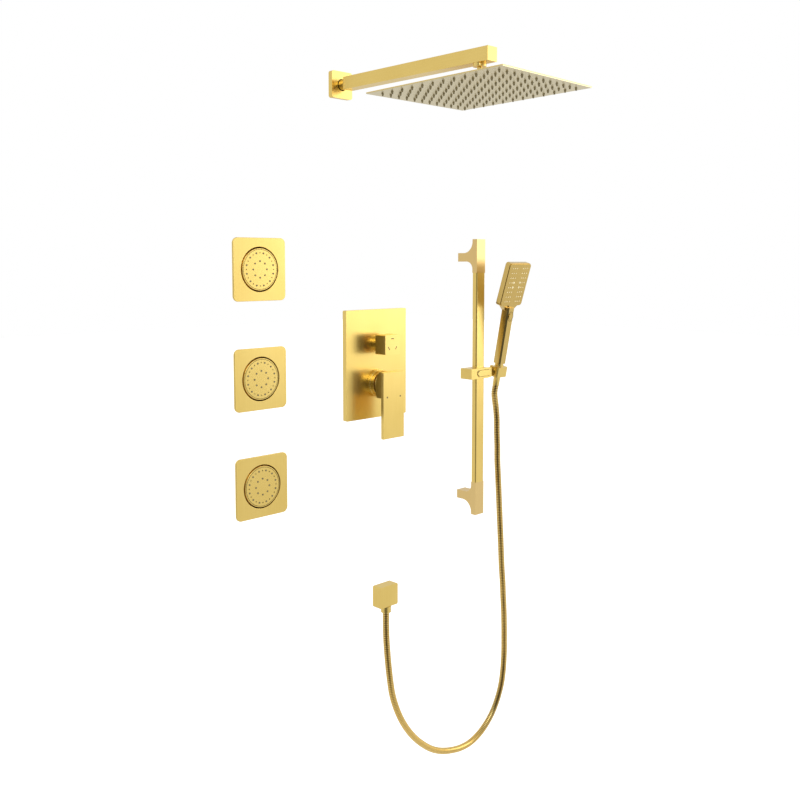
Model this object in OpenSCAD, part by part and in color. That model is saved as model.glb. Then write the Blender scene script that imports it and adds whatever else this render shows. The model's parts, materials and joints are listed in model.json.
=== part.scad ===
// Concealed shower set: rain head on a wall arm, three body jets, a mixer with a
// diverter, and a hand shower on a slide rail fed by a wall outlet.
// Millimetres, +Z up. The finished wall is the plane y = 0 and the set faces -Y.
// The origin is the centre of the trim plate's back face.

/* [Trim plate and valve] */
// Width of the trim plate
plate_w = 175; // [160:1:190]
// Height of the trim plate
plate_h = 235; // [225:1:250]
// Thickness of the trim plate
plate_t = 11; // [9:1:12]
// Height of the diverter axis above the plate centre
diverter_z = 44; // [42:1:48]
// Height of the mixer axis above the plate centre
mixer_z = -42; // [-46:1:-40]
// Side of the square diverter knob
knob_size = 42; // [36:1:44]
// Width of the mixer lever
lever_w = 60; // [50:1:62]
// Height of the mixer lever
lever_h = 142; // [120:1:150]
// Distance from the wall to the lever's front face
lever_front = 64; // [62:1:68]

/* [Shower arm and rain head] */
// Sideways place of the arm
arm_x = -95; // [-120:5:0]
// Height of the arm's centre line
arm_z = 580; // [520:5:650]
// Distance from the wall to the arm's tip
arm_reach = 412; // [380:2:450]
// Side of the square arm
arm_size = 25; // [24:1:28]
// Side of the square wall flange
flange_size = 54; // [50:1:70]
// Side of the square rain head
head_size = 285; // [250:5:300]
// Turn of the rain head about its ball, in degrees
head_turn = 6; // [0:1:10]
// Rain nozzles along each side of the head
head_grid = 12; // [8:1:14]

/* [Body jets] */
// Sideways place of the column of jets
jet_x = -300; // [-340:5:-200]
// Height of the middle jet
jet_mid_z = -8; // [-60:1:60]
// Height from one jet to the next
jet_pitch = 213; // [180:1:240]
// Side of a jet's square plate
jet_size = 122; // [112:1:130]
// Thickness of a jet's plate
jet_t = 4; // [3:0.5:5]

/* [Slide rail] */
// Sideways place of the rail
rail_x = 285; // [240:1:320]
// Height of the rail's top end
rail_top = 272; // [250:1:320]
// Length of the rail with its brackets
rail_len = 650; // [600:10:750]
// Width of the rail
rail_w = 29; // [28:1:30]
// Thickness of the rail
rail_t = 14; // [12:0.5:14]
// Distance from the wall to the back of the rail
rail_gap = 45; // [45:0.5:46]
// Height of each end bracket
bracket_h = 78; // [76:1:90]
// Height of the slider as stored
slider_z = -40; // [-60:1:60]

/* [Hand shower] */
// Lean of the holder socket out from the wall, in degrees
holder_lean = 11; // [8:1:14]
// Extra lean of the spray head on its handle, in degrees
head_lean = 6.5; // [5:0.5:8]
// Width of the spray head
spray_w = 77; // [70:1:78]
// Height of the spray head
spray_h = 104; // [100:1:106]

/* [Wall outlet and hose] */
// Sideways place of the wall outlet
outlet_x = 23; // [0:1:60]
// Height of the wall outlet
outlet_z = -520; // [-522:1:-518]
// Width of the outlet
outlet_w = 54; // [48:1:58]
// Height of the outlet
outlet_h = 48; // [46:1:50]
// Depth of the outlet
outlet_d = 24; // [24:1:28]
// Outside diameter of the metal hose
hose_d = 15; // [14:0.5:15]

/* [Hidden] */

$fn = 72;
cut = 0.5;             // how far a cutting shape runs past a face
thread_pipe_r = 10.48; // outside radius of a G1/2 male thread
thread_port_r = 9.32;  // inside radius of a G1/2 female thread
thread_len = 14;       // length of each male inlet thread
waterway_r = 7;        // bore of the inlets
finish = "#d9ab45";    // brushed gold
raw_brass = "#b08d4a";
plastic = "#e8e4d8";
steel = "#b9bcc0";
rubber = "#2b2b2b";

// Valve stations, as distances out from the wall (negative is inside it)
block_front = -22;     // front of the valve casting
block_back = -52;      // back of the valve casting
block_w = 50;
block_h = 150;
port_len = 14;         // depth of each threaded port
port_y = 37;           // depth of the ports' centre lines in the wall
port_r = 13;
side_reach = 42;       // ends of the side ports, from the middle
end_reach = 92;        // ends of the top and bottom ports
mixer_bore_r = 20;
nut_bore_r = 23.6;
mixer_tower_r = 25.6;
diverter_bore_r = 15;
pivot_out = 22;        // distance from the wall to the lever's lift pivot
ball_r = 24.5;         // ball at the back of the lever
sleeve_r = 30;
sleeve_in_r = 25.7;
sleeve_front = 30;
knob_back = 29;
knob_depth = 31;
ear_spacing = 90;

// Arm and head stations
neck_len = 28;         // from the wall to the square part of the arm
neck_r = 11;
spigot_y = 29;         // from the arm's tip back to the spigot
head_bottom = 520;     // height of the rain head's lower face
face_t = 1.5;
shell_h = 5;
ball_z = 548;          // height of the swivel ball
swivel_r = 8.5;
nut_r = 12.2;
head_droop = [-2, -1.5];   // how far the ball lets the head hang off level, about X and Y

// Body jet stations
jet_hole_r = 43.5;
jet_pivot = 14;        // depth of the swivel ball in the wall
jet_rim_out = 5;       // front of the round insert, out from the wall
jet_rim_r = 40.5;
jet_ball_r = 11;
jet_round = sqrt(pow(jet_rim_r, 2) + pow(jet_pivot + jet_rim_out, 2));
jet_z = [jet_mid_z + jet_pitch, jet_mid_z, jet_mid_z - jet_pitch];

// Rail and slider stations
rail_out = rail_gap + rail_t / 2;
rail_low = rail_top - rail_len;
bracket_z = [rail_top - bracket_h / 2, rail_low + bracket_h / 2];
stem_h = 20;
stem_shift = 3;        // how far each stem sits from its bracket's middle, inwards
stem_z = [bracket_z[0] - stem_shift, bracket_z[1] + stem_shift];
puck_r = 7.45;
slider_h = 24.5;
slider_left = rail_x - 42;
slider_right = rail_x + 29;
slider_front = 69;
slider_back = 35;
hinge_out = 57;        // holder hinge, out from the wall
hinge_boss_r = 10.5;
hinge_r = 5;
release_x = rail_x + 2; // middle of the release lever
release_pin_x = rail_x + 21;
release_pin_out = 67.4;

// Holder and hand shower stations, measured along the socket's own axis
socket = [rail_x + 59, -63.5, slider_z];
holder_w = 36;
holder_d = 28;
holder_h = 24;
socket_top_r = 10.6;
socket_low_r = 8.6;
socket_gap = 0.3;
handle_low = 20;
neck_at = 155;         // where the spray head leans from the handle
button_at = 136;
button_r = 7;
handle_w = 24;
handle_d = 22;
spray_back = 9;        // back of the spray head, behind the handle's centre line
spray_shell = 12.5;
face_plate_t = 2.5;

// Route of the hose from the outlet nut to the hand shower's ferrule
hose_y = -14;
route = [
    [23, -14, -558], [23, -14, -585], [23, -15, -618], [24, -17, -651], [26, -19, -685],
    [29, -21, -717], [34, -22, -748], [43, -24, -780], [57, -26, -813], [76, -27, -844],
    [99, -28, -873], [126, -29, -899], [155, -30, -921], [186, -31, -937], [219, -31, -948],
    [252, -32, -954], [285, -33, -953], [316, -34, -943], [343, -35, -926], [366, -36, -903],
    [384, -37, -874], [397, -38, -840], [403, -39, -803], [406, -39, -764], [405, -40, -725],
    [403, -41, -686], [400, -42, -648], [397, -42, -610], [393, -43, -572], [389, -43, -534],
    [385, -44, -494], [381, -45, -454], [378, -45, -415], [374, -46, -376], [370, -47, -338],
    [366, -48, -300], [363, -48, -262], [361, -49, -226], [359, -49, -192], [357, -50, -160],
    [354, -50, -134], [349, -51, -114], [344, -53, -94], [344, -57, -73.4]
];
slider_joint = 34;     // route points where the hose passes to its next piece
holder_joint = 38;

// ---- helpers ----

// Local x is X, local y is Z, and local z points out of the wall, from "off" outwards
module on_wall(x, z, off = 0) {
    translate([x, -off, z]) rotate([90, 0, 0]) children();
}

module ring(r_out, r_in, h) {
    difference() {
        cylinder(r = r_out, h = h);
        translate([0, 0, -cut]) cylinder(r = r_in, h = h + 2 * cut);
    }
}

module rounded_rect(w, h, r) {
    square([w - 2 * r, h], center = true);
    square([w, h - 2 * r], center = true);
    for (i = [-1, 1], j = [-1, 1])
        translate([i * (w / 2 - r), j * (h / 2 - r)]) circle(r);
}

module chamfered_rect(w, h, c) {
    polygon([
        [-w / 2 + c, -h / 2], [w / 2 - c, -h / 2], [w / 2, -h / 2 + c], [w / 2, h / 2 - c],
        [w / 2 - c, h / 2], [-w / 2 + c, h / 2], [-w / 2, h / 2 - c], [-w / 2, -h / 2 + c]
    ]);
}

module along_x(x0, x1, y, z, r) {
    translate([x0, y, z]) rotate([0, 90, 0]) cylinder(r = r, h = x1 - x0);
}

// The rain head's own frame, with its origin at the swivel ball
module on_ball() {
    translate([arm_x, spigot_y - arm_reach, ball_z]) rotate([head_droop[0], 0, 0])
        rotate([0, head_droop[1], 0]) rotate(head_turn) children();
}

module in_socket() {
    translate(socket) rotate([holder_lean, 0, 0]) children();
}

// Local z runs up the spray head, and -y is its spray side
module in_spray_head() {
    in_socket() translate([0, 0, neck_at]) rotate([head_lean, 0, 0]) children();
}

// A slab of the spray head, of thickness t from its back face at y = back
module spray_slab(w, h, r, back, t) {
    translate([0, back, 6 + spray_h / 2]) rotate([90, 0, 0]) linear_extrude(t)
        rounded_rect(w, h, r);
}

// ---- trim plate and valve ----

module gasket_shape(t) {
    linear_extrude(t) difference() {
        rounded_rect(plate_w - 10, plate_h - 10, 4);
        rounded_rect(plate_w - 18, plate_h - 18, 3);
    }
}

module trim_plate() {
    color(finish) on_wall(0, 0) difference() {
        linear_extrude(plate_t) rounded_rect(plate_w, plate_h, 3);
        translate([0, mixer_z, -cut]) cylinder(r = 27, h = plate_t + 2 * cut);
        translate([0, diverter_z, -cut]) cylinder(r = 16, h = plate_t + 2 * cut);
        translate([0, 0, -cut]) gasket_shape(2 + cut);
    }
}

module plate_gasket() {
    color(rubber) on_wall(0, 0) gasket_shape(2);
}

module valve_body() {
    color(raw_brass) difference() {
        union() {
            on_wall(0, 0, block_back) linear_extrude(block_front - block_back)
                rounded_rect(block_w, block_h, 8);
            on_wall(0, mixer_z, block_front - 4) cylinder(r = mixer_tower_r, h = 18);
            on_wall(0, diverter_z, block_front - 4) cylinder(r = 19, h = 18);
            along_x(-side_reach, side_reach, port_y, mixer_z, port_r);
            along_x(-side_reach, 0, port_y, diverter_z, port_r);
            translate([0, port_y, -end_reach]) cylinder(r = port_r, h = 2 * end_reach);
            on_wall(0, 0, -29) linear_extrude(5) rounded_rect(ear_spacing + 26, 24, 6);
        }
        on_wall(0, mixer_z, -46) cylinder(r = mixer_bore_r, h = 46);
        on_wall(0, mixer_z, -18) cylinder(r = nut_bore_r, h = 18);
        on_wall(0, diverter_z, -44) cylinder(r = diverter_bore_r, h = 44);
        along_x(1 - side_reach, side_reach - 1, port_y, mixer_z, 6);
        along_x(1 - side_reach, 0, port_y, diverter_z, 6);
        translate([0, port_y, 1 - end_reach]) cylinder(r = 6, h = 2 * end_reach - 2);
        for (side = [-1, 1]) {
            translate([side * (side_reach - port_len / 2), port_y, mixer_z]) rotate([0, 90, 0])
                cylinder(r = thread_port_r, h = port_len + 2 * cut, center = true);
            translate([0, port_y, side * (end_reach - port_len / 2)])
                cylinder(r = thread_port_r, h = port_len + 2 * cut, center = true);
            on_wall(side * ear_spacing / 2, 0, -30) cylinder(r = 3, h = 7);
        }
        translate([port_len / 2 - side_reach, port_y, diverter_z]) rotate([0, 90, 0])
            cylinder(r = thread_port_r, h = port_len + 2 * cut, center = true);
    }
}

module mixer_cartridge() {
    color(plastic) on_wall(0, mixer_z, -45.9) difference() {
        cylinder(r = 19.9, h = 30.7);
        translate([0, 0, 6.5]) cylinder(r = 11.3, h = 30);
    }
}

module cartridge_nut() {
    color(raw_brass) on_wall(0, mixer_z, -15.1) ring(23.5, 13, 6.6);
}

module mixer_sleeve() {
    color(finish) on_wall(0, mixer_z, 0) difference() {
        union() {
            translate([0, 0, -18]) cylinder(r = 26.8, h = 30);
            translate([0, 0, plate_t]) cylinder(r = sleeve_r, h = 9);
            translate([0, 0, plate_t + 9]) cylinder(r = sleeve_r - 1.5, h = sleeve_front - 20);
        }
        translate([0, 0, -19]) cylinder(r = sleeve_in_r, h = 60);
    }
}

module cartridge_carrier() {
    color(plastic) on_wall(0, mixer_z, 0) difference() {
        union() {
            translate([0, 0, -38]) cylinder(r = 11, h = 38);
            cylinder(r = 9, h = pivot_out + 6);
        }
        translate([-4.3, -15, 6]) cube([8.6, 30, pivot_out + 6]);
        translate([-10, 0, pivot_out]) rotate([0, 90, 0]) cylinder(r = 2.05, h = 20);
    }
}

module cartridge_stem() {
    color(steel) on_wall(0, mixer_z, 0) {
        translate([-4, -4, 10]) cube([8, 8, 36]);
        translate([-8.5, 0, pivot_out]) rotate([0, 90, 0]) cylinder(r = 2, h = 17);
    }
}

// Ball on the lift pivot, a block rounded at its back, and a flat paddle hanging down
module mixer_lever() {
    paddle_t = 7.5;
    lever_top = 28;
    color(finish) on_wall(0, mixer_z, 0) difference() {
        union() {
            difference() {
                translate([0, 0, pivot_out]) sphere(ball_r);
                translate([-30, -30, -8]) cube([60, 60, pivot_out - 4]);
            }
            intersection() {
                translate([-24, -28, 30]) cube([48, lever_top * 2, lever_front - 32]);
                translate([-30, -8, 87]) rotate([0, 90, 0]) cylinder(r = 55, h = 60);
            }
            translate([-lever_w / 2, lever_top - lever_h, lever_front - paddle_t])
                cube([lever_w, lever_h, paddle_t]);
        }
        translate([0, 0, pivot_out]) sphere(20);
        translate([-4.1, -4.1, pivot_out]) cube([8.2, 8.2, 24.2]);
        translate([0, -4, 46 - 6]) rotate([90, 0, 0]) cylinder(r = 2.5, h = 30);
    }
}

module lever_screw() {
    color(steel) on_wall(0, mixer_z, 40) translate([0, -4.1, 0]) rotate([90, 0, 0])
        cylinder(r = 2.45, h = 8);
}

module diverter_cartridge() {
    color(plastic) on_wall(0, diverter_z, -43) ring(14.9, 5.05, 31);
}

module diverter_collar() {
    color(finish) on_wall(0, diverter_z, 0) difference() {
        union() {
            translate([0, 0, -8]) cylinder(r = 15.4, h = 20);
            translate([0, 0, plate_t]) cylinder(r = 17, h = 16);
        }
        translate([0, 0, -9]) cylinder(r = 8, h = 40);
    }
}

module diverter_spindle() {
    color(steel) on_wall(0, diverter_z, -42) cylinder(r = 5, h = 86);
}

module diverter_knob() {
    color(finish) on_wall(0, diverter_z, knob_back) difference() {
        linear_extrude(knob_depth) rounded_rect(knob_size, knob_size, 2);
        translate([0, 0, -cut]) cylinder(r = 5.02, h = 15.5 + cut);
    }
}

// ---- shower arm and rain head ----

module arm_flange() {
    color(finish) on_wall(arm_x, arm_z) difference() {
        linear_extrude(plate_t) rounded_rect(flange_size, flange_size, 5);
        translate([0, 0, -cut]) linear_extrude(4 + cut)
            rounded_rect(flange_size - 8, flange_size - 8, 3);
        translate([0, 0, -cut]) cylinder(r = 12.3, h = plate_t + 2 * cut);
    }
}

module flange_ring() {
    color(rubber) on_wall(arm_x, arm_z, 4) ring(12.3, neck_r, 4);
}

module shower_arm() {
    arm_len = arm_reach - neck_len;
    color(finish) on_wall(arm_x, arm_z) difference() {
        union() {
            translate([0, 0, neck_len]) linear_extrude(arm_len) square(arm_size, center = true);
            translate([0, 0, -thread_len]) cylinder(r = thread_pipe_r, h = thread_len + 1);
            cylinder(r = neck_r, h = neck_len + 2);
        }
        translate([0, 0, neck_len + 3]) linear_extrude(arm_len - 6)
            square(arm_size - 5, center = true);
        translate([0, 0, -thread_len - cut]) cylinder(r = waterway_r, h = neck_len + 24);
        translate([0, -arm_size / 2 - cut, arm_reach - spigot_y]) rotate([-90, 0, 0])
            cylinder(r = 7, h = 4);
    }
}

module arm_spigot() {
    arm_low = arm_z - arm_size / 2;
    color(finish) translate([arm_x, spigot_y - arm_reach, 0]) difference() {
        union() {
            translate([0, 0, arm_low - 6]) cylinder(r = 12, h = 6);
            translate([0, 0, arm_low - 1]) cylinder(r = 7, h = 4.5);
            translate([0, 0, ball_z]) cylinder(r = 4.5, h = arm_low - 6 - ball_z + 1);
            translate([0, 0, ball_z]) sphere(swivel_r);
        }
        translate([0, 0, ball_z - 10]) cylinder(r = 3, h = 40);
    }
}

module head_seat() {
    color(plastic) on_ball() difference() {
        translate([0, 0, -11]) cylinder(r = 10.5, h = 8);
        sphere(swivel_r + 0.3);
        translate([0, 0, -12]) cylinder(r = 4, h = 10);
    }
}

boss_top = head_bottom + face_t + shell_h + 3.5 - ball_z;

module head_nut() {
    color(finish) on_ball() difference() {
        translate([0, 0, boss_top]) cylinder(r = nut_r, h = 6 - boss_top);
        sphere(swivel_r + 0.3);
        translate([0, 0, -11.2]) cylinder(r = 10.6, h = 8.4);
        translate([0, 0, boss_top - cut]) cylinder(r = 6, h = 10);
        cylinder(r = 6.4, h = 7);
    }
}

// Thin square tray with sloped edges, its centre boss and its hollow inside
module rain_head_shell() {
    half = head_size / 2;
    slope = 15;
    profile = [[-half, 0], [half, 0], [half, 1], [half - slope, shell_h], [slope - half, shell_h],
        [-half, 1]];
    color(finish) on_ball() translate([0, 0, head_bottom + face_t - ball_z]) difference() {
        union() {
            intersection() {
                translate([0, half, 0]) rotate([90, 0, 0]) linear_extrude(head_size)
                    polygon(profile);
                translate([-half, 0, 0]) rotate([90, 0, 90]) linear_extrude(head_size)
                    polygon(profile);
            }
            translate([0, 0, shell_h - 1]) cylinder(r = 16, h = 4.5);
        }
        translate([0, 0, -cut]) linear_extrude(3 + cut) square(head_size - 50, center = true);
        translate([0, 0, 1]) cylinder(r = 6, h = 10);
    }
}

module nozzle_places(count, pitch) {
    first = (1 - count) * pitch / 2;
    for (i = [0:count - 1], j = [0:count - 1])
        translate([first + i * pitch, first + j * pitch]) children();
}

nozzle_pitch = (head_size - 41) / (head_grid - 1);
rain_nozzle_r = 2.4;

module rain_head_face() {
    color(finish) on_ball() translate([0, 0, head_bottom - ball_z]) linear_extrude(face_t)
        difference() {
            square(head_size, center = true);
            nozzle_places(head_grid, nozzle_pitch) circle(r = rain_nozzle_r, $fn = 24);
        }
}

module rain_nozzles() {
    color(plastic) on_ball() translate([0, 0, head_bottom - ball_z])
        nozzle_places(head_grid, nozzle_pitch) {
            cylinder(r = rain_nozzle_r, h = face_t, $fn = 24);
            translate([0, 0, -4.5]) cylinder(r1 = 1.2, r2 = rain_nozzle_r, h = 4.5, $fn = 24);
        }
}

// ---- body jets ----

module jet_plate(z) {
    color(finish) on_wall(jet_x, z) difference() {
        linear_extrude(jet_t) rounded_rect(jet_size, jet_size, 11);
        translate([0, 0, -cut]) cylinder(r = jet_hole_r, h = jet_t + 2 * cut);
    }
}

// Cup set in the wall, with the seat's boss inside it and a male inlet behind
module jet_housing(z) {
    color(raw_brass) on_wall(jet_x, z) difference() {
        union() {
            translate([0, 0, -12]) ring(48, 45.5, 12);
            translate([0, 0, -14]) cylinder(r = 48, h = 2);
            translate([0, 0, -30]) cylinder(r = 18, h = 22.5);
            translate([0, 0, -30 - thread_len]) cylinder(r = thread_pipe_r, h = thread_len + 2);
        }
        translate([0, 0, -27]) cylinder(r = 14.3, h = 30);
        translate([0, 0, -31 - thread_len]) cylinder(r = waterway_r, h = thread_len + 8);
    }
}

module jet_seat(z) {
    color(plastic) on_wall(jet_x, z) difference() {
        translate([0, 0, -26.5]) cylinder(r = 14.2, h = 19.5);
        translate([0, 0, -jet_pivot]) sphere(jet_ball_r + 0.3);
        translate([0, 0, -28]) cylinder(r = 6, h = 10);
    }
}

// Round spray face with a spherical rim, on a ball that tilts in the seat
module jet_nozzle(z) {
    color(finish) on_wall(jet_x, z) difference() {
        union() {
            intersection() {
                translate([0, 0, -jet_pivot]) sphere(jet_round);
                translate([0, 0, -3]) cylinder(r = 50, h = 3 + jet_rim_out);
            }
            translate([0, 0, -jet_pivot]) cylinder(r = 5.5, h = 12);
            translate([0, 0, -jet_pivot]) sphere(jet_ball_r);
        }
        translate([0, 0, -1]) cylinder(r = 34, h = jet_rim_out - 1.5);
        translate([0, 0, -27]) cylinder(r = 3.5, h = 27);
        for (circle_of = [[12, 32], [8, 16]], i = [0:circle_of[0] - 1])
            rotate(i * 360 / circle_of[0]) translate([circle_of[1], 0, 0])
                cylinder(r = 1.2, h = 10, $fn = 16);
    }
}

// ---- slide rail ----

module rail_bar() {
    color(finish) translate([rail_x, -rail_out, rail_low + bracket_h])
        linear_extrude(rail_len - 2 * bracket_h) difference() {
            rounded_rect(rail_w, rail_t, 3);
            rounded_rect(rail_w - 4, rail_t - 4, 1.5);
        }
}

// Side outline: a straight stretch of rail and a stem to the wall, with hollow curves between,
// the outer one larger. Local x is the distance out from the wall, y the height above the stem.
module bracket_outline() {
    outer_r = 27;
    inner_r = 18;
    translate([rail_gap, stem_shift - bracket_h / 2]) square([rail_t, bracket_h]);
    translate([0, -stem_h / 2]) square([rail_gap + 1, stem_h]);
    for (curve = [[1, outer_r], [-1, inner_r]]) difference() {
        translate([rail_gap - curve[1], curve[0] > 0 ? stem_h / 2 - 1 : -stem_h / 2 - curve[1]])
            square([curve[1] + 1, curve[1] + 1]);
        translate([rail_gap - curve[1], curve[0] * (stem_h / 2 + curve[1])]) circle(curve[1]);
    }
}

// "end" is 1 at the rail's top and -1 at its bottom
module rail_bracket(end) {
    z = end > 0 ? stem_z[0] : stem_z[1];
    color(finish) difference() {
        union() {
            translate([rail_x - rail_w / 2, 0, z]) rotate([90, 0, 90]) mirror([1, 0, 0])
                linear_extrude(rail_w) scale([1, end]) bracket_outline();
            translate([rail_x, -rail_out, z - end * (bracket_h / 2 - stem_shift + 9) - 10])
                linear_extrude(20) rounded_rect(rail_w - 4.2, rail_t - 4.2, 1.4);
        }
        on_wall(rail_x, z, -cut) cylinder(r = puck_r + 0.05, h = 29);
        translate([rail_x, -14, z - stem_h / 2 - cut]) cylinder(r = 2, h = 8);
    }
}

module rail_mounts() {
    color(raw_brass) for (z = stem_z) on_wall(rail_x, z) difference() {
        cylinder(r = puck_r, h = 28);
        translate([0, 0, -cut]) cylinder(r = 2.75, h = 30);
        translate([0, 0, 23]) cylinder(r = 5.2, h = 6);
    }
}

module bracket_screws() {
    color(steel) for (z = stem_z) translate([rail_x, -14, z - stem_h / 2 + 0.4])
        cylinder(r = 1.98, h = stem_h / 2 - puck_r - 0.45);
}

// ---- slider ----

module rail_slot(wall, h) {
    translate([rail_x, -rail_out, slider_z]) linear_extrude(h, center = true)
        rounded_rect(rail_w + 0.6 + 2 * wall, rail_t + 0.6 + 2 * wall, 3 + wall);
}

// Front view of the slider, which narrows towards the hinge boss
module slider_outline() {
    taper_x = rail_x + 17;
    polygon([
        [slider_left, -slider_h / 2], [taper_x, -slider_h / 2], [slider_right, -hinge_boss_r],
        [slider_right, hinge_boss_r], [taper_x, slider_h / 2], [slider_left, slider_h / 2]
    ]);
}

module slider_body() {
    boss_end = rail_x + 40;
    color(finish) difference() {
        union() {
            on_wall(0, slider_z, slider_back) linear_extrude(slider_front - slider_back)
                slider_outline();
            along_x(slider_right - 1, boss_end, -hinge_out, slider_z, hinge_boss_r);
        }
        rail_slot(1.7, slider_h + 2);
        along_x(rail_x + 18.5, boss_end + 1, -hinge_out, slider_z, hinge_r + 0.05);
        on_wall(release_x, slider_z, slider_front - 6) linear_extrude(7)
            rounded_rect(50, 16, 7.5);
        translate([release_pin_x, -release_pin_out, slider_z - 11]) cylinder(r = 1.2, h = 22);
    }
}

module slider_liner() {
    color(plastic) difference() {
        rail_slot(1.7, slider_h);
        rail_slot(0, slider_h + 2);
    }
}

module slider_lever() {
    color(finish) difference() {
        on_wall(release_x, slider_z, slider_front - 3) linear_extrude(3.6)
            rounded_rect(48, 14, 6.5);
        translate([release_pin_x, -release_pin_out, slider_z - 12]) cylinder(r = 1.25, h = 24);
    }
}

module lever_pin() {
    color(steel) translate([release_pin_x, -release_pin_out, slider_z - 11])
        cylinder(r = 1.2, h = 22);
}

module lever_spring() {
    color(steel) on_wall(rail_x - 12, slider_z, slider_front - 6) ring(2.5, 1.7, 3);
}

// ---- holder and hand shower ----

module hose_slot() {
    translate([-8.2, 0, -holder_h]) cube([16.4, holder_d, 2 * holder_h]);
}

module holder_block() {
    color(finish) difference() {
        union() {
            in_socket() translate([0, 0, -holder_h / 2]) linear_extrude(holder_h)
                rounded_rect(holder_w, holder_d, 4);
            along_x(rail_x + 20, rail_x + 43, -hinge_out, slider_z, hinge_r);
        }
        in_socket() {
            translate([0, 0, -holder_h / 2 - cut])
                cylinder(r1 = socket_low_r + 1.15, r2 = socket_top_r + 1.25, h = holder_h + 2 * cut);
            hose_slot();
        }
    }
}

module holder_liner() {
    color(plastic) in_socket() difference() {
        translate([0, 0, -holder_h / 2])
            cylinder(r1 = socket_low_r + 1.1, r2 = socket_top_r + 1.1, h = holder_h);
        translate([0, 0, -holder_h / 2]) cylinder(r1 = socket_low_r, r2 = socket_top_r, h = holder_h);
        hose_slot();
    }
}

module handset_shell() {
    color(finish) difference() {
        union() {
            in_socket() translate([0, 0, handle_low]) linear_extrude(neck_at - handle_low + 1)
                chamfered_rect(handle_w, handle_d, 3.5);
            in_spray_head() {
                spray_slab(spray_w, spray_h, 7, spray_back, spray_shell);
                translate([0, spray_back, 0]) rotate([90, 0, 0]) linear_extrude(spray_shell)
                    polygon([[-30, 8.5], [30, 8.5], [11, -7.5], [-11, -7.5]]);
            }
        }
        in_spray_head() spray_slab(spray_w - 10, spray_h - 10, 4, spray_back - 3, spray_shell);
        in_socket() {
            translate([0, 2, handle_low - cut]) cylinder(r = 4, h = neck_at - handle_low + 13);
            translate([0, -5, button_at]) rotate([90, 0, 0]) cylinder(r = button_r + 0.35, h = 12);
        }
    }
}

module spray_places(large_ones) {
    for (row = [0:7], side = [-1, 1], column = [0:2]) {
        large = (row == 3 || row == 4) && column == 0;
        if (large == large_ones)
            translate([side * (11 + column * 7.5), 6 + spray_h / 2 + (row - 3.5) * 11.5]) children();
    }
}

module handset_face() {
    color(finish) in_spray_head() translate([0, spray_back - spray_shell, 0]) rotate([90, 0, 0])
        difference() {
            union() {
                translate([0, 6 + spray_h / 2]) linear_extrude(face_plate_t)
                    rounded_rect(spray_w - 3, spray_h - 3, 6);
                translate([-7, 3]) cube([14, 6, face_plate_t]);
            }
            translate([0, 0, -cut]) {
                spray_places(false) cylinder(r = 1.4, h = 4, $fn = 20);
                spray_places(true) cylinder(r = 2.6, h = 4, $fn = 20);
            }
        }
}

module handset_nozzles() {
    color(plastic) in_spray_head() translate([0, spray_back - spray_shell, 0]) rotate([90, 0, 0]) {
        spray_places(false) {
            cylinder(r = 1.4, h = face_plate_t, $fn = 20);
            translate([0, 0, face_plate_t]) cylinder(r1 = 1.4, r2 = 0.9, h = 1.2, $fn = 20);
        }
        spray_places(true) {
            cylinder(r = 2.6, h = face_plate_t, $fn = 20);
            translate([0, 0, face_plate_t]) cylinder(r1 = 2.6, r2 = 2, h = 1, $fn = 20);
        }
    }
}

module spray_button() {
    color(finish) in_socket() translate([0, -7.2, button_at]) rotate([90, 0, 0])
        cylinder(r = button_r, h = 5.2);
}

module button_spring() {
    color(steel) in_socket() translate([0, -5, button_at]) rotate([90, 0, 0]) ring(3, 2.2, 2.2);
}

// Conical nut that seats in the holder, with the hose ferrule below and a collar above
module hose_cone_nut() {
    slope = (socket_top_r - socket_low_r) / holder_h;
    reach = 14;
    mid_r = (socket_top_r + socket_low_r) / 2 - socket_gap;
    color(finish) in_socket() difference() {
        union() {
            translate([0, 0, -reach])
                cylinder(r1 = mid_r - slope * reach, r2 = mid_r + slope * reach, h = 2 * reach);
            translate([0, 0, reach - 1]) cylinder(r = 10.4, h = handle_low - reach + 1);
            translate([0, 0, -34]) cylinder(r = hose_d / 2 + 0.3, h = 22);
        }
        translate([0, 0, -33]) cylinder(r = 4.5, h = 60);
    }
}

// ---- wall outlet and hose ----

outlet_low = outlet_z - outlet_h / 2;

module outlet_elbow() {
    color(finish) difference() {
        union() {
            on_wall(outlet_x, outlet_z) linear_extrude(outlet_d)
                rounded_rect(outlet_w, outlet_h, 4);
            on_wall(outlet_x, outlet_z, -thread_len) cylinder(r = thread_pipe_r, h = thread_len + 1);
            translate([outlet_x, hose_y, outlet_low - 7]) cylinder(r = 9, h = 8);
        }
        on_wall(outlet_x, outlet_z, -thread_len - cut)
            cylinder(r = waterway_r, h = thread_len + 15);
        translate([outlet_x, hose_y, outlet_low - 8]) cylinder(r = 6, h = outlet_h / 2 + 8);
    }
}

module hose_nut() {
    color(finish) translate([outlet_x, hose_y, outlet_low]) difference() {
        translate([0, 0, -14]) cylinder(r = 11.4, h = 13.5);
        translate([0, 0, -7.5]) cylinder(r = 9.05, h = 8);
        translate([0, 0, -13]) cylinder(r = 4.5, h = 10);
    }
}

function unit(v) = v / norm(v);
function heading(i) = unit(route[min(i + 1, len(route) - 1)] - route[max(i - 1, 0)]);
function side_of(i) = unit(cross([0, 1, 0], heading(i)));
function hose_ring(i, sides, gap) = [
    for (k = [0:sides - 1]) let (turn = k * 360 / sides)
        route[i] + gap * heading(i)
            + hose_d / 2 * (cos(turn) * side_of(i) + sin(turn) * cross(heading(i), side_of(i)))
];

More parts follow.
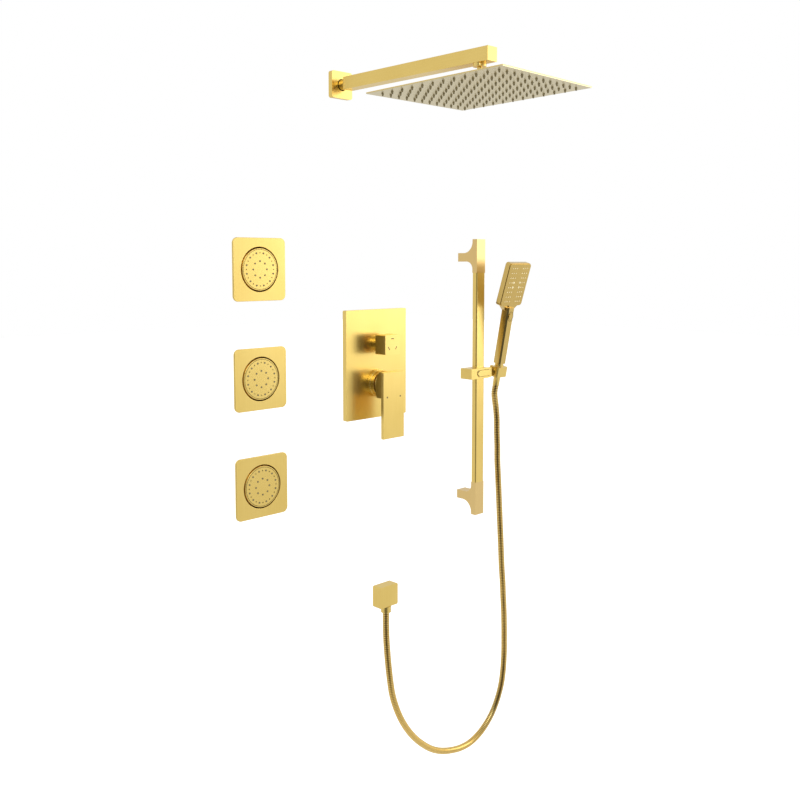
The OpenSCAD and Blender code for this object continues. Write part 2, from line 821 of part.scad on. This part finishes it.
// The hose from one route point to another, with a ring of corners at each point. Where it
// carries on from another piece it starts a little late, so that the two stay apart.
module hose_run(from, to) {
    sides = 10;
    rings = to - from;
    joint_gap = 0.1;
    corners = [for (i = [from:to]) each hose_ring(i, sides, i == from && from > 0 ? joint_gap : 0)];
    walls = [
        for (i = [0:rings - 1], k = [0:sides - 1]) let (n = (k + 1) % sides)
            each [[i * sides + k, (i + 1) * sides + k, (i + 1) * sides + n],
                [i * sides + k, (i + 1) * sides + n, i * sides + n]]
    ];
    start = [for (k = [0:sides - 1]) k];
    end = [for (k = [sides - 1:-1:0]) rings * sides + k];
    color(finish) polyhedron(points = corners, faces = concat(walls, [start], [end]));
}

module hose_main() { hose_run(0, slider_joint); }
module hose_upper() { hose_run(slider_joint, holder_joint); }
module hose_end() { hose_run(holder_joint, len(route) - 1); }

trim_plate();
plate_gasket();
valve_body();
mixer_cartridge();
cartridge_nut();
mixer_sleeve();
diverter_cartridge();
diverter_collar();
cartridge_carrier();
cartridge_stem();
mixer_lever();
lever_screw();
diverter_spindle();
diverter_knob();
arm_flange();
shower_arm();
flange_ring();
arm_spigot();
head_seat();
head_nut();
rain_head_shell();
rain_head_face();
rain_nozzles();
jet_plate(jet_z[0]);  // jet_top_plate
jet_housing(jet_z[0]);  // jet_top_housing
jet_seat(jet_z[0]);  // jet_top_seat
jet_nozzle(jet_z[0]);  // jet_top_nozzle
jet_plate(jet_z[1]);  // jet_mid_plate
jet_housing(jet_z[1]);  // jet_mid_housing
jet_seat(jet_z[1]);  // jet_mid_seat
jet_nozzle(jet_z[1]);  // jet_mid_nozzle
jet_plate(jet_z[2]);  // jet_low_plate
jet_housing(jet_z[2]);  // jet_low_housing
jet_seat(jet_z[2]);  // jet_low_seat
jet_nozzle(jet_z[2]);  // jet_low_nozzle
rail_bar();
rail_bracket(1);  // rail_bracket_top
rail_bracket(-1);  // rail_bracket_bottom
rail_mounts();
bracket_screws();
slider_body();
slider_liner();
slider_lever();
lever_pin();
lever_spring();
holder_block();
holder_liner();
handset_shell();
handset_face();
handset_nozzles();
spray_button();
button_spring();
hose_cone_nut();
hose_main();
hose_upper();
hose_end();
outlet_elbow();
hose_nut();
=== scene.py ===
import json
import math
from bisect import bisect_right

import bmesh
import bpy
from mathutils import Matrix, Vector


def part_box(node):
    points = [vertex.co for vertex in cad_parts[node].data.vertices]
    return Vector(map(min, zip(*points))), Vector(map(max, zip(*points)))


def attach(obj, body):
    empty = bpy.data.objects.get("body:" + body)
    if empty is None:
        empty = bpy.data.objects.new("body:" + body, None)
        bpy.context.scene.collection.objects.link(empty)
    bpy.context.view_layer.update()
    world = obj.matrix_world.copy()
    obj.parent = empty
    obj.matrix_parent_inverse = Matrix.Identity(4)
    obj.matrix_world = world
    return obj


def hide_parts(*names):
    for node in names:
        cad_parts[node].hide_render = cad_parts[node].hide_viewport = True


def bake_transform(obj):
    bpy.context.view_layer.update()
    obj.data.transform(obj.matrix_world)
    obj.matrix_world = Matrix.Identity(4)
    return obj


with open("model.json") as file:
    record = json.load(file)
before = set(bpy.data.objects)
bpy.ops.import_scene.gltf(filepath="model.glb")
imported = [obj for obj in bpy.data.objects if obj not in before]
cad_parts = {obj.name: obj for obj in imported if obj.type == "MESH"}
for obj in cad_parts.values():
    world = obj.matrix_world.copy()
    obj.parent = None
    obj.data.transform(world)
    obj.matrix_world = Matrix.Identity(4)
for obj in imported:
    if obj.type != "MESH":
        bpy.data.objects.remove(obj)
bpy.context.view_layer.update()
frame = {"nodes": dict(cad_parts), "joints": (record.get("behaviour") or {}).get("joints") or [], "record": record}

scene = bpy.context.scene
scene.view_settings.view_transform = "Standard"
mm = 0.001
nodes = frame["nodes"]
bodyOf = {node: body for body, held in frame["record"]["behaviour"]["bodies"].items() for node in held}
slotOf = {part["node"]: part["material_slot"] for part in frame["record"]["subparts"]}
print("frame loaded:", len(nodes), "nodes")

# ---- camera ----

cameraSetup = {
    "lens": 41.6,          # mm, on a 36 mm sensor
    "turn": 44,            # degrees round from square-on to the wall
    "dip": 4.6,            # degrees down from level
    "distance": 2.056,
    "aim": (0.08, 0, 0.22),
    "shiftY": -0.08,
}


def makeCamera():
    turn = math.radians(cameraSetup["turn"])
    dip = math.radians(cameraSetup["dip"])
    level = Vector((math.sin(turn), math.cos(turn), 0))
    look = level * math.cos(dip) - Vector((0, 0, math.sin(dip)))
    data = bpy.data.cameras.new("viewCamera")
    data.lens = cameraSetup["lens"]
    data.shift_y = cameraSetup["shiftY"]
    camera = bpy.data.objects.new("viewCamera", data)
    camera.location = Vector(cameraSetup["aim"]) - level * cameraSetup["distance"]
    camera.rotation_mode = "QUATERNION"
    camera.rotation_quaternion = look.to_track_quat("-Z", "Y")
    scene.collection.objects.link(camera)
    scene.camera = camera


makeCamera()

# ---- colour and node helpers ----


def linearColour(hexText):
    channels = [int(hexText[i:i + 2], 16) / 255 for i in (1, 3, 5)]
    return [c / 12.92 if c <= 0.04045 else ((c + 0.055) / 1.055) ** 2.4 for c in channels] + [1]


def addNode(tree, kind, settings=(), links=()):
    node = tree.nodes.new(kind)
    for name, value in dict(settings).items():
        if isinstance(name, str) and hasattr(node, name):
            setattr(node, name, value)
        else:
            node.inputs[name].default_value = value
    for name, socket in dict(links).items():
        tree.links.new(socket, node.inputs[name])
    return node


def newMaterial(name, metallic, roughness, shaderSettings=()):
    material = bpy.data.materials.new(name)
    material.use_nodes = True
    tree = material.node_tree
    shader = tree.nodes["Principled BSDF"]
    shader.inputs["Metallic"].default_value = metallic
    shader.inputs["Roughness"].default_value = roughness
    for socket, value in dict(shaderSettings).items():
        shader.inputs[socket].default_value = value
    return material, tree, shader


def twoColours(tree, factor, darkHex, lightHex):
    ramp = addNode(tree, "ShaderNodeValToRGB", links={"Fac": factor})
    ramp.color_ramp.elements[0].color = linearColour(darkHex)
    ramp.color_ramp.elements[1].color = linearColour(lightHex)
    return ramp


def spread(tree, value, low, high):
    return addNode(
        tree, "ShaderNodeMapRange", {"To Min": low, "To Max": high}, {"Value": value}
    ).outputs["Result"]


# ---- materials ----

goldFinish = {
    "light": "#eed484",
    "dark": "#d8b75e",
    "hairPitch": 1.1,      # mm between hairlines, coarser than the real 0.2 so that they show
    "hairLength": 60,      # mm
    "roughness": 0.3,
}


# Brushed brass with a satin gold coat: fine parallel hairlines that stretch each highlight
# across them, over a slow drift of tone left by the plating bath.
def brushedGold(name, along, light=None, dark=None, rough=0.0):
    base = goldFinish["roughness"] + rough
    material, tree, shader = newMaterial(name, 1, base)
    place = addNode(tree, "ShaderNodeTexCoord").outputs["Object"]
    across = 1 / (goldFinish["hairPitch"] * mm)
    scale = [across] * 3
    scale["xyz".index(along)] = 1 / (goldFinish["hairLength"] * mm)
    hairPlace = addNode(tree, "ShaderNodeMapping", {"Scale": scale}, {"Vector": place})
    hair = addNode(
        tree, "ShaderNodeTexNoise", {"Scale": 1, "Detail": 3, "Roughness": 0.6},
        {"Vector": hairPlace.outputs["Vector"]},
    ).outputs["Fac"]
    drift = addNode(
        tree, "ShaderNodeTexNoise", {"Scale": 9, "Detail": 2}, {"Vector": place}
    ).outputs["Fac"]
    mixed = addNode(
        tree, "ShaderNodeMath", {"operation": "MULTIPLY_ADD", 1: 0.45}, {0: hair, 2: spread(tree, drift, 0, 0.55)}
    ).outputs["Value"]
    colours = twoColours(tree, mixed, dark or goldFinish["dark"], light or goldFinish["light"])
    tree.links.new(colours.outputs["Color"], shader.inputs["Base Color"])
    tree.links.new(spread(tree, hair, base - 0.06, base + 0.1), shader.inputs["Roughness"])
    bump = addNode(
        tree, "ShaderNodeBump", {"Strength": 0.12, "Distance": 0.0001}, {"Height": hair}
    )
    tree.links.new(bump.outputs["Normal"], shader.inputs["Normal"])
    return material


# One tone with a fine grain, for the pieces that are mostly out of sight.
def grained(name, darkHex, lightHex, grain, metallic, roughness, depth=0.0001, settings=()):
    material, tree, shader = newMaterial(name, metallic, roughness, settings)
    place = addNode(tree, "ShaderNodeTexCoord").outputs["Object"]
    speck = addNode(
        tree, "ShaderNodeTexNoise", {"Scale": 1 / (grain * mm), "Detail": 4}, {"Vector": place}
    ).outputs["Fac"]
    colours = twoColours(tree, speck, darkHex, lightHex)
    tree.links.new(colours.outputs["Color"], shader.inputs["Base Color"])
    tree.links.new(
        spread(tree, speck, roughness - 0.06, roughness + 0.08), shader.inputs["Roughness"]
    )
    bump = addNode(
        tree, "ShaderNodeBump", {"Strength": 0.3, "Distance": depth}, {"Height": speck}
    )
    tree.links.new(bump.outputs["Normal"], shader.inputs["Normal"])
    return material


uprightGold = brushedGold("brushedGoldUpright", "z")
levelGold = brushedGold("brushedGoldLevel", "x")
armGold = brushedGold("brushedGoldArm", "y")
turnedGold = brushedGold("satinGoldTurned", "y", rough=-0.04)
castBrass = grained("sandCastBrass", "#8f7238", "#b39553", 0.8, 1, 0.45)     # dull, pitted
turnedSteel = grained("turnedStainlessSteel", "#a9abad", "#c9cbcd", 2, 1, 0.28)
whiteAcetal = grained("mouldedAcetal", "#d9d5c8", "#eae6da", 3, 0, 0.42)     # waxy white
blackSeal = grained("mouldedEpdmRubber", "#191919", "#2b2b2b", 1.5, 0, 0.7)  # matt black
nozzleSilicone = grained("mouldedSiliconeNozzles", "#5c5334", "#80734b", 1.5, 0, 0.4)
platedAbs = brushedGold("satinPlatedAbs", "z", light="#dcc078", dark="#bf9f54", rough=-0.1)
hoseMetal = grained("woundPlatedBrassStrip", "#d8b768", "#ecd28c", 6, 1, 0.16, depth=0.00002)
shadeAndLineBrown = grained("paintedShadeAndDarkLines", "#33270f", "#4a3a1a", 1, 1, 0.45)  # brown for painted shade in the hose grooves and the lever's scoop, and for dark seam lines
bracketGold = brushedGold("brushedGoldBracket", "z", light="#e6cb8c", dark="#d2b070")
# pale grey-gold that paints the reflection seen on the rain head's underside into its colour
paleReflectionGold = brushedGold("brushedGoldPaintedReflection", "x", light="#dfd2a8", dark="#c9bb8f")
paleTips = grained("mouldedSiliconePale", "#e0cf9a", "#f4e9c4", 1.5, 0, 0.4)
inkMark = grained("firedMarkBrown", "#5e4a20", "#75602c", 1, 0, 0.5)                # matt, flush

slotMaterials = {
    "brushed_gold": uprightGold,
    "raw_brass": castBrass,
    "stainless_steel": turnedSteel,
    "white_plastic": whiteAcetal,
    "seal_rubber": blackSeal,
    "nozzle_silicone": nozzleSilicone,
    "gold_plated_plastic": platedAbs,
    "hose_metal": hoseMetal,
}
for node, cadPiece in nodes.items():
    cadPiece.data.materials.clear()
    cadPiece.data.materials.append(slotMaterials[slotOf[node]])
nodes["handset_nozzles"].data.materials[0] = paleTips
# the rain head's face gets the painted reflection tone
nodes["rain_head_face"].data.materials[0] = paleReflectionGold
print("materials made")

# ---- mesh helpers ----


def finishPiece(bm, name, material, body=None, smoothAngle=32):
    mesh = bpy.data.meshes.new(name)
    bm.to_mesh(mesh)
    bm.free()
    mesh.materials.append(material)
    mesh.polygons.foreach_set("use_smooth", [True] * len(mesh.polygons))
    mesh.set_sharp_from_angle(angle=math.radians(smoothAngle))
    piece = bpy.data.objects.new(name, mesh)
    scene.collection.objects.link(piece)
    if body:
        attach(piece, body)
    return piece


# A copy of a CAD node whose hard edges are rounded over as a polisher leaves them
def roundedCopy(node, edge, material, sharp=32, segments=3, shortest=0.9):
    bm = bmesh.new()
    bm.from_mesh(nodes[node].data)
    bmesh.ops.remove_doubles(bm, verts=bm.verts, dist=0.002 * mm)
    bmesh.ops.dissolve_limit(
        bm, angle_limit=math.radians(0.6), verts=bm.verts, edges=bm.edges, delimit={"SHARP"}
    )
    hard = [
        e for e in bm.edges
        if len(e.link_faces) == 2 and e.calc_face_angle() > math.radians(sharp)
        and e.calc_length() > shortest * mm      # nozzle holes keep their plain rims
    ]
    if edge and hard:
        bmesh.ops.bevel(
            bm, geom=hard, offset=edge * mm, offset_type="OFFSET", affect="EDGES",
            segments=segments, profile=0.5, clamp_overlap=True, material=-1,
        )
    piece = finishPiece(bm, node + ".finished", material, bodyOf[node])
    piece.modifiers.new("flatFaces", "WEIGHTED_NORMAL").keep_sharp = True
    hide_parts(node)
    return piece


# ---- hose ----

hose = {
    "diameter": 15,        # mm
    "ridge": 4.2,          # mm from one turn of the strip to the next, a little over the real 3, so it shows
    "groove": 1.1,         # mm deep
    "sides": 20,
    "perSpan": 8,          # steps of the smooth line for each span of the route
}
# The route, in millimetres: down from the outlet nut, round the low loop, up to the holder
hoseRoute = [
    (23, -14, -558), (23, -14, -585), (23, -15, -618), (24, -17, -651), (26, -19, -685),
    (29, -21, -717), (34, -22, -748), (43, -24, -780), (57, -26, -813), (76, -27, -844),
    (99, -28, -873), (126, -29, -899), (155, -30, -921), (186, -31, -937), (219, -31, -948),
    (252, -32, -954), (285, -33, -953), (316, -34, -943), (343, -35, -926), (366, -36, -903),
    (384, -37, -874), (397, -38, -840), (403, -39, -803), (406, -39, -764), (405, -40, -725),
    (403, -41, -686), (400, -42, -648), (397, -42, -610), (393, -43, -572), (389, -43, -534),
    (385, -44, -494), (381, -45, -454), (378, -45, -415), (374, -46, -376), (370, -47, -338),
    (366, -48, -300), (363, -48, -262), (361, -49, -226), (359, -49, -192), (357, -50, -160),
    (354, -50, -134), (349, -51, -114), (344, -53, -94), (344, -57, -73.4),
]
sliderJoint = 34           # route points where one hose piece ends and the next begins
holderJoint = 38


def smoothLine(points, perSpan):
    line = []
    last = len(points) - 1
    for i in range(last):
        before, start = points[max(i - 1, 0)], points[i]
        end, after = points[i + 1], points[min(i + 2, last)]
        for step in range(perSpan):
            t = step / perSpan
            line.append(0.5 * (
                2 * start + (end - before) * t + (2 * before - 5 * start + 4 * end - after) * t ** 2
                + (3 * start - before - 3 * end + after) * t ** 3
            ))
    line.append(points[last].copy())
    return line


wholeLine = smoothLine([Vector(p) * mm for p in hoseRoute], hose["perSpan"])


# A straight ribbed tube on its own axis, then bent so that its length follows the line
def ribbedTube(name, line):
    reach = [0.0]
    for a, b in zip(line, line[1:]):
        reach.append(reach[-1] + (b - a).length)
    outer = hose["diameter"] / 2 * mm
    inner = outer - hose["groove"] * mm
    ridges = round(reach[-1] / (hose["ridge"] * mm))
    pitch = reach[-1] / ridges
    profile = [(0, 0)]
    for i in range(ridges):
        profile += [(inner, i * pitch), (inner, (i + 0.2) * pitch), (outer, (i + 0.32) * pitch),
                    (outer, (i + 0.88) * pitch)]
    profile += [(inner, reach[-1]), (0, reach[-1])]
    bm = bmesh.new()
    points = [bm.verts.new((r, 0, z)) for r, z in profile]
    edges = [bm.edges.new(pair) for pair in zip(points, points[1:])]
    bmesh.ops.spin(
        bm, geom=points + edges, axis=(0, 0, 1), cent=(0, 0, 0), angle=2 * math.pi,
        steps=hose["sides"], use_merge=True,
    )
    bmesh.ops.remove_doubles(bm, verts=bm.verts, dist=0.01 * mm)
    bmesh.ops.recalc_face_normals(bm, faces=bm.faces)
    for face in bm.faces:                # the shaded bottoms of the grooves
        deepest = max(math.hypot(v.co.x, v.co.y) for v in face.verts)
        face.material_index = int(deepest < outer - hose["groove"] * mm / 2)
    for vert in bm.verts:
        along = min(max(vert.co.z, 0), reach[-1])
        i = min(bisect_right(reach, along) - 1, len(line) - 2)
        share = (along - reach[i]) / (reach[i + 1] - reach[i])
        ahead = (line[i + 1] - line[i]).normalized()
        back = (line[i] - line[max(i - 1, 0)]).normalized() if i else ahead
        later = (line[min(i + 2, len(line) - 1)] - line[i + 1]).normalized() if i < len(line) - 2 else ahead
        heading = ((back + ahead) * (1 - share) + (ahead + later) * share).normalized()
        side = Vector((0, 1, 0)).cross(heading).normalized()
        up = heading.cross(side)
        vert.co = line[i].lerp(line[i + 1], share) + side * vert.co.x + up * vert.co.y
    piece = finishPiece(bm, name, hoseMetal, smoothAngle=60)
    # the second material paints shade into the bottoms of the grooves
    piece.data.materials.append(shadeAndLineBrown)
    return piece


def makeHose(name, node, first, last):
    line = wholeLine[first * hose["perSpan"]:last * hose["perSpan"] + 1]
    piece = ribbedTube(name, line)
    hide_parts(node)
    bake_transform(piece)
    return piece


lastPoint = len(hoseRoute) - 1
makeHose("hose.main", "hose_main", 0, sliderJoint)
makeHose("hose.upper", "hose_upper", sliderJoint, holderJoint)
makeHose("hose.end", "hose_end", holderJoint, lastPoint)

# ---- metal pieces with rounded edges ----

# edge radius in mm, and the finish with its brushing direction
metalEdges = {
    "trim_plate": (1.0, uprightGold), "mixer_sleeve": (0.6, turnedGold),
    "mixer_lever": (0.8, uprightGold), "diverter_collar": (0.4, turnedGold),
    "diverter_knob": (0.8, levelGold), "arm_flange": (1.0, uprightGold),
    "shower_arm": (0.8, armGold), "arm_spigot": (0.4, turnedGold), "head_nut": (0.6, turnedGold),
    "rain_head_shell": (0.4, levelGold), "rail_bar": (0.4, uprightGold),
    "rail_bracket_top": (1.0, bracketGold), "rail_bracket_bottom": (1.0, bracketGold),
    "slider_body": (0.7, levelGold), "slider_lever": (0.7, levelGold),
    "holder_block": (0.7, levelGold), "handset_shell": (1.0, platedAbs),
    "handset_face": (0.3, platedAbs), "spray_button": (0.8, platedAbs),
    "hose_cone_nut": (0.5, turnedGold), "hose_nut": (0.6, turnedGold),
    "outlet_elbow": (0.8, uprightGold),
}
for place in ("top", "mid", "low"):
    metalEdges["jet_" + place + "_plate"] = (0.7, uprightGold)
    metalEdges["jet_" + place + "_nozzle"] = (0.4, turnedGold)
for node, (edge, finish) in metalEdges.items():
    roundedCopy(node, edge, finish)
print("metal pieces rounded")

# ---- small details ----


# Several short turned pieces on one wall-facing surface, as one object. Each place is
# (x, z) in metres, and the profile is (radius, distance out) in millimetres, from the wall side.
def turnedSpots(name, material, places, face, profile, sides=14):
    bm = bmesh.new()
    for x, z in places:
        points = [bm.verts.new((x + r * mm, face - out * mm, z)) for r, out in profile]
        edges = [bm.edges.new(pair) for pair in zip(points, points[1:])]
        bmesh.ops.spin(
            bm, geom=points + edges, axis=(0, -1, 0), cent=(x, 0, z), angle=2 * math.pi,
            steps=sides, use_merge=True,
        )
    bmesh.ops.remove_doubles(bm, verts=bm.verts, dist=0.004 * mm)
    bmesh.ops.recalc_face_normals(bm, faces=bm.faces)
    return finishPiece(bm, name, material)


def circlePlaces(centre, radius, count, start):
    angles = [math.radians(start + i * 360 / count) for i in range(count)]
    return [(centre[0] + radius * math.cos(a), centre[1] + radius * math.sin(a)) for a in angles]


jetDetail = {
    "outer": (12, 32, 15),     # nozzles, radius of their circle in mm, angle of the first
    "inner": (8, 16, 0),
    "tip": 1.9,                # radius of each silicone tip
    "proud": 0.9,
    "groove": (38.2, 39.0),    # a fine turned line near the rim
}


def makeJetDetail(place):
    low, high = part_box("jet_" + place + "_nozzle")
    centre = ((low.x + high.x) / 2, (low.z + high.z) / 2)
    tips = []
    for count, radius, start in (jetDetail["outer"], jetDetail["inner"]):
        tips += circlePlaces(centre, radius * mm, count, start)
    r, proud = jetDetail["tip"], jetDetail["proud"]
    profile = [(0, -0.4), (r, -0.4), (r, proud * 0.5), (r * 0.75, proud), (0, proud)]
    piece = turnedSpots("jet." + place + ".tips", nozzleSilicone, tips, low.y, profile)
    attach(piece, bodyOf["jet_" + place + "_nozzle"])
    near, far = jetDetail["groove"]
    line = turnedSpots(
        "jet." + place + ".line", shadeAndLineBrown, [centre], low.y,
        [(near, -0.2), (near, 0.06), (far, 0.06), (far, -0.2), (near, -0.2)], sides=72,
    )
    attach(line, bodyOf["jet_" + place + "_nozzle"])


for place in ("top", "mid", "low"):
    makeJetDetail(place)

markDetail = {
    "leverDrop": 2.0,          # radius in mm of the hot and cold marks
    "leverApart": 38,
    "leverBelow": 53,          # below the lever's top edge
    "knobDot": 1.3,
    "knobCircle": 13,          # radius of the circle that the knob's marks lie on
}


def makeMarks():
    low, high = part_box("mixer_lever")
    middle = (low.x + high.x) / 2
    z = high.z - markDetail["leverBelow"] * mm
    places = [(middle + side * markDetail["leverApart"] / 2 * mm, z) for side in (-1, 1)]
    r = markDetail["leverDrop"]
    disc = [(0, -0.3), (r, -0.3), (r, 0.08), (0, 0.08)]
    drops = turnedSpots("lever.marks", inkMark, places, low.y, disc, sides=20)
    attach(drops, "lever")
    low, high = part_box("diverter_knob")
    centre = ((low.x + high.x) / 2, (low.z + high.z) / 2)
    dots = []
    for start in (90, 215, 325):
        for i in (-1, 0, 1):
            dots += circlePlaces(centre, markDetail["knobCircle"] * mm, 1, start + i * 12)
    r = markDetail["knobDot"]
    disc = [(0, -0.3), (r, -0.3), (r, 0.08), (0, 0.08)]
    marks = turnedSpots("knob.marks", inkMark, dots, low.y, disc)
    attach(marks, "knob")


makeMarks()

slideDetail = {
    "scoop": (4.6, 6.4),       # inner and outer radius of the finger scoop's shadow, mm
    "seam": (8.6, 9.3),        # the line round the hand shower's button, mm
    "seamTall": 1.25,          # how much taller than wide that line is
}


# A painted shadow for the finger scoop at the release lever's free end: the half ring that shows, in flat dark
# brown
def makeScoopShadow():
    low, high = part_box("slider_lever")
    half = (high.z - low.z) / 2
    centre = (low.x + half, (low.z + high.z) / 2)
    near, far = slideDetail["scoop"]
    ring = [(near, -0.2), (near, 0.05), (far, 0.05), (far, -0.2), (near, -0.2)]
    piece = turnedSpots("lever.scoopShadow", shadeAndLineBrown, [centre], low.y, ring, sides=48)
    bm = bmesh.new()
    bm.from_mesh(piece.data)
    cut = bmesh.ops.bisect_plane(
        bm, geom=bm.verts[:] + bm.edges[:] + bm.faces[:], plane_co=(centre[0], 0, centre[1]),
        plane_no=(1, 0, 0), clear_outer=True,
    )
    bmesh.ops.edgeloop_fill(bm, edges=[g for g in cut["geom_cut"] if isinstance(g, bmesh.types.BMEdge)])
    bmesh.ops.recalc_face_normals(bm, faces=bm.faces)
    bm.to_mesh(piece.data)
    bm.free()
    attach(piece, "slider_release")


# The line round the button, laid on the handle's leaning front
def makeButtonSeam():
    press = next(j for j in frame["joints"] if j["name"] == "button_press")
    inward = Vector(press["axis"]).normalized()
    side = Vector((1, 0, 0))
    up = side.cross(inward).normalized()
    if up.z < 0:
        up.negate()
    low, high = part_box("spray_button")
    front = (low + high) / 2 - inward * 1.3 * mm      # the handle's face, behind the button's front
    near, far = slideDetail["seam"]
    profile = [(near, -0.2), (near, 0.12), (far, 0.12), (far, -0.2), (near, -0.2)]
    bm = bmesh.new()
    points = [bm.verts.new((r * mm, 0, out * mm)) for r, out in profile]
    edges = [bm.edges.new(pair) for pair in zip(points, points[1:])]
    bmesh.ops.spin(
        bm, geom=points + edges, axis=(0, 0, 1), cent=(0, 0, 0), angle=2 * math.pi, steps=48,
        use_merge=True,
    )
    bmesh.ops.remove_doubles(bm, verts=bm.verts, dist=0.004 * mm)
    bmesh.ops.scale(bm, verts=bm.verts, vec=(1, slideDetail["seamTall"], 1))
    place = Matrix((side, up, -inward)).transposed().to_4x4()
    place.translation = front
    bmesh.ops.transform(bm, matrix=place, verts=bm.verts)
    bmesh.ops.recalc_face_normals(bm, faces=bm.faces)
    seam = finishPiece(bm, "button.seam", shadeAndLineBrown, "handset")


makeScoopShadow()
makeButtonSeam()
print("details added")

# ---- floor and light ----

studio = {
    "floorZ": -1.05,
    "white": "#ffffff",
    "seen": 1.0,           # brightness of the room as a plain background
    # what the metal reflects, from the camera's own direction round to behind the set
    "reflected": ((0.0, 0.06), (0.06, 0.16), (0.16, 0.8), (0.5, 0.94), (0.8, 0.9), (0.97, 0.86)),
    "floorGlow": 0.45,
}


def makeFloor():
    bm = bmesh.new()
    bmesh.ops.create_grid(bm, x_segments=1, y_segments=1, size=14)
    bmesh.ops.translate(bm, verts=bm.verts, vec=(0, 0, studio["floorZ"]))
    material, tree, shader = newMaterial("paintedStudioFloor", 0, 0.9)
    shader.inputs["Base Color"].default_value = linearColour("#fbfaf8")
    shader.inputs["Emission Color"].default_value = linearColour(studio["white"])
    shader.inputs["Emission Strength"].default_value = studio["floorGlow"]
    floor = finishPiece(bm, "floor", material)
    floor.visible_glossy = False


# A white room to look at, and a shaded one for the metal to reflect
def makeRoom():
    world = bpy.data.worlds.new("studioRoom")
    world.use_nodes = True
    scene.world = world
    tree = world.node_tree
    background = tree.nodes["Background"]
    place = addNode(tree, "ShaderNodeTexCoord").outputs["Generated"]
    turn = math.radians(cameraSetup["turn"])
    facing = addNode(
        tree, "ShaderNodeVectorMath",
        {"operation": "DOT_PRODUCT", 1: (math.sin(turn), math.cos(turn), 0)}, {0: place},
    ).outputs["Value"]
    sweep = addNode(tree, "ShaderNodeMapRange", {"From Min": -1}, {"Value": facing}).outputs["Result"]
    ramp = addNode(tree, "ShaderNodeValToRGB", links={"Fac": sweep})
    stops = ramp.color_ramp.elements
    for i, (position, level) in enumerate(studio["reflected"]):
        stop = stops[i] if i < 2 else stops.new(position)
        stop.position = position
        stop.color = (level, level, level, 1)
    reflected = addNode(tree, "ShaderNodeRGBToBW", links={"Color": ramp.outputs["Color"]}).outputs["Val"]
    direct = addNode(tree, "ShaderNodeLightPath").outputs["Is Camera Ray"]
    strength = addNode(
        tree, "ShaderNodeMapRange", {"To Max": studio["seen"]}, {"Value": direct, "To Min": reflected}
    ).outputs["Result"]
    tree.links.new(strength, background.inputs["Strength"])
    background.inputs["Color"].default_value = linearColour(studio["white"])


def makeLight(name, place, aim, size, power):
    data = bpy.data.lights.new(name, "AREA")
    data.shape = "SQUARE"
    data.size = size
    data.energy = power
    light = bpy.data.objects.new(name, data)
    light.location = place
    light.rotation_mode = "QUATERNION"
    light.rotation_quaternion = (Vector(aim) - Vector(place)).to_track_quat("-Z", "Y")
    scene.collection.objects.link(light)


makeFloor()
makeRoom()
makeLight("keySoftbox", (-1.9, -2.2, 2.0), (0, 0, 0.1), 1.8, 32)
makeLight("sideSoftbox", (2.3, -1.8, 0.8), (0.1, 0, 0), 2.2, 26)
print("stage set")
